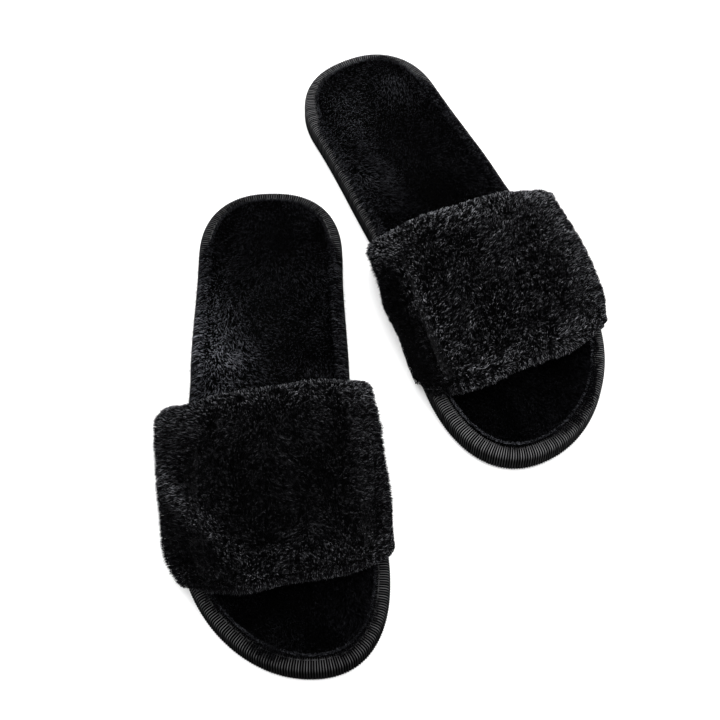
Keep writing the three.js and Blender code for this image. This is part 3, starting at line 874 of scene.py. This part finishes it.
def insole_margin(slipper):
    """The pile round the footbed's edge: it lies over the tape beside the waist and the heel's
    sides, and stands up short of the tape round the toes and at the back of the heel."""
    rng = np.random.default_rng(37 + slipper.seed)
    places = 4000
    outline, normals, _ = edge_curve(places)
    at = rng.integers(0, places, MARGIN_FIBRES)
    edge, normal = outline[at], normals[at]
    u = -edge[:, 1]
    over = smooth((u - 26) / 16) * (1 - smooth((u - 190) / 12))
    start = TOP_FLAP + GAP
    inset = start + rng.random(MARGIN_FIBRES) * mix(1.5, 5.0, over) + 0.2
    past = slipper.overhang
    reach = mix(TOP_FLAP + 0.6, 0.6 - past, over) + 0.6 * (inset - start - mix(0.9, 1.7, over))
    reach = np.maximum(reach, mix(TOP_FLAP, -past, over)) + rng.normal(0, 0.25, MARGIN_FIBRES)
    tangent = np.stack([-normal[:, 1], normal[:, 0]], 1)
    skew = rng.normal(0, 1.0, MARGIN_FIBRES)[:, None] * tangent
    roots = np.c_[edge - normal * inset[:, None], np.full(MARGIN_FIBRES, BACKING_TOP + 0.6)]
    # Heights of the tips and the middles, standing and lying over the tape.
    tip_at = mix(15.4, 10.8, over) + rng.normal(0, 1.0, MARGIN_FIBRES) * mix(0.3, 1.4, over)
    middle_at = mix(14.6, 15.3, over) + rng.normal(0, 0.3, MARGIN_FIBRES)
    tips = np.c_[edge - normal * reach[:, None] + skew, tip_at]
    middles = (roots + tips) / 2
    middles[:, 2] = middle_at
    middles[:, :2] -= normal * (0.9 * over * (1 - (inset > 6)))[:, None]
    radius = rng.uniform(0.13, 0.2, MARGIN_FIBRES)
    # Painted sheen: over the tape it follows the footbed's painted light; on the standing rim it
    # grows towards the toes.
    beside = 0.07 + 1.2 * insole_painted_light(slipper, edge[:, 0], u)
    rim = slipper.roll * mix(0.4, 1.0, smooth((u - 100) / 50))
    contrast = mix(RIM_CONTRAST, OVERHANG_CONTRAST, over)
    tint = rng.random(MARGIN_FIBRES) ** contrast * np.clip(mix(rim, beside, over), 0.02, 2)
    fibres(slipper, "insole_margin", roots, middles, tips, radius, tint,
           MATERIALS["insole_pile"])


def cad_materials(slipper):
    """The CAD's inner foam layers stay as they are, with the foam's material."""
    for node in ("bottom_filler", "midsole_foam", "strap_foam"):
        slots = frame["nodes"][f"{slipper.name}_{node}"].material_slots
        slots[0].link = "OBJECT"
        slots[0].material = MATERIALS["foam"]


# ---- floor, light and camera ----

VIEW_TARGET = Vector((-0.0133, -0.0119, 0))
VIEW_DISTANCE = 0.7551
VIEW_ELEVATION = math.radians(60)
LENS = 76.84


def studio():
    bpy.ops.mesh.primitive_plane_add(size=30, location=(0, 0, 0))
    floor = bpy.context.object
    floor.name = "floor"
    floor.data.materials.append(material("floor", (0.9, 0.9, 0.9), 1.0, 0.0)[0])
    world = bpy.data.worlds.new("studio")
    bpy.context.scene.world = world
    world.use_nodes = True
    background = world.node_tree.nodes["Background"]
    background.inputs["Color"].default_value = (1, 1, 1, 1)
    background.inputs["Strength"].default_value = 0.85
    for name, place, size, power in (("key", (0.0, 0.15, 1.6), 2.4, 60),
                                     ("fill", (0.5, -0.7, 1.2), 1.2, 6)):
        light = bpy.data.objects.new(name, bpy.data.lights.new(name, "AREA"))
        light.data.size = size
        light.data.energy = power
        light.location = place
        light.rotation_euler = (-Vector(place)).to_track_quat("-Z", "Y").to_euler()
        bpy.context.scene.collection.objects.link(light)
    bpy.context.scene.view_settings.view_transform = "Standard"


def camera():
    made = bpy.data.objects.new("camera", bpy.data.cameras.new("camera"))
    away = Vector((0, -math.cos(VIEW_ELEVATION), math.sin(VIEW_ELEVATION)))
    made.location = VIEW_TARGET + VIEW_DISTANCE * away
    made.rotation_euler = away.to_track_quat("Z", "Y").to_euler()
    made.data.lens = LENS
    made.data.sensor_width = 36
    bpy.context.scene.collection.objects.link(made)
    bpy.context.scene.camera = made


camera()
studio()
# A slipper's slants turn the strap's rear and front edge, in millimetres at the feet. Its look:
#   gain, fine      the strength of the strap pile's painted light and sheen, and its fibres' thickness
#   dip             how much darker the middle of the strap is
#   tuft, patch     how much the tufts turn the strap's fibres, and how much they shade them
#   fleck           size in millimetres and strength of the finest changes of shade
#   rim, fold       width of the painted highlight on the front rim; the fold's place at the rear edge, its slope,
#                   the strength of its painted highlight, the painted shade below it and its width
#   front_short     how far the front edge is drawn back at the lateral and the medial foot
#   plump           places (across, along), reach and added length of the strap's pile
#   overhang, roll  how far the footbed's pile lies past the sole, and its rim's painted sheen
#   tape            strength of the painted highlight on the tape's ribs
#   patches         patches of the footbed's painted sheen: distance from the heel, share of the half
#                   width, length, width, gain; a negative gain darkens, and the left slipper's
#                   patch behind its strap is the strap's painted shadow
PAIR = (
    Slipper("right", 1, -6.2, -9.2, seed=0, gain=0.385, fine=0.78, dip=0.28, tuft=0.05, patch=0.25,
            front_short=(2.2, 0.0), fleck=(1.0, 0.9),
            overhang=1.2, roll=0.2, tape=0.55, rim=0.11, fold=(0.08, 0.33, 1.3, 0.3, 0.03),
            plump=((0.1, 0.08, 0.2, 2.5), (0.14, 0.85, 0.18, 2.8), (0.87, 0.25, 0.3, 2.8),
                   (0.97, 0.97, 0.1, -1.5)),
            patches=((97, -0.8, 22, 0.42, 0.72), (68, -0.85, 25, 0.3, 0.32),
                     (28, 0.1, 14, 0.4, -0.07))),
    Slipper("left", -1, -4.5, -2.7, seed=50, gain=0.63, fine=0.78, dip=0.0, tuft=0.07, patch=0.55,
            front_short=(5.0, 0.5), fleck=(1.25, 1.8),
            overhang=0.3, roll=0.4, tape=1.15, rim=0.06, fold=(0.25, 0.05, 0.9, 0.5, 0.02),
            plump=((0.87, 0.12, 0.2, 2.0), (0.95, 0.38, 0.15, 3.0), (0.14, 0.35, 0.35, 1.5),
                   (0.1, 0.82, 0.12, 1.5), (0.9, 0.85, 0.2, -2.4), (0.1, 0.99, 0.08, -2.0)),
            patches=((38, 0.5, 16, 0.3, 0.4), (75, 0.6, 20, 0.3, 0.2), (30, -0.2, 25, 0.5, 0.1),
                     (105, 0, 16, 0.7, -0.07))),
)
for pair_member in PAIR:
    surface, pile = strap_grid(pair_member)
    strap_base(pair_member, surface)
    strap_pile(pair_member, surface, pile)
    strap_lining(pair_member)
    outsole(pair_member)
    edge_binding(pair_member)
    insole_backing(pair_member)
    insole_pile(pair_member)
    insole_margin(pair_member)
    all_stitches(pair_member)
    cad_materials(pair_member)
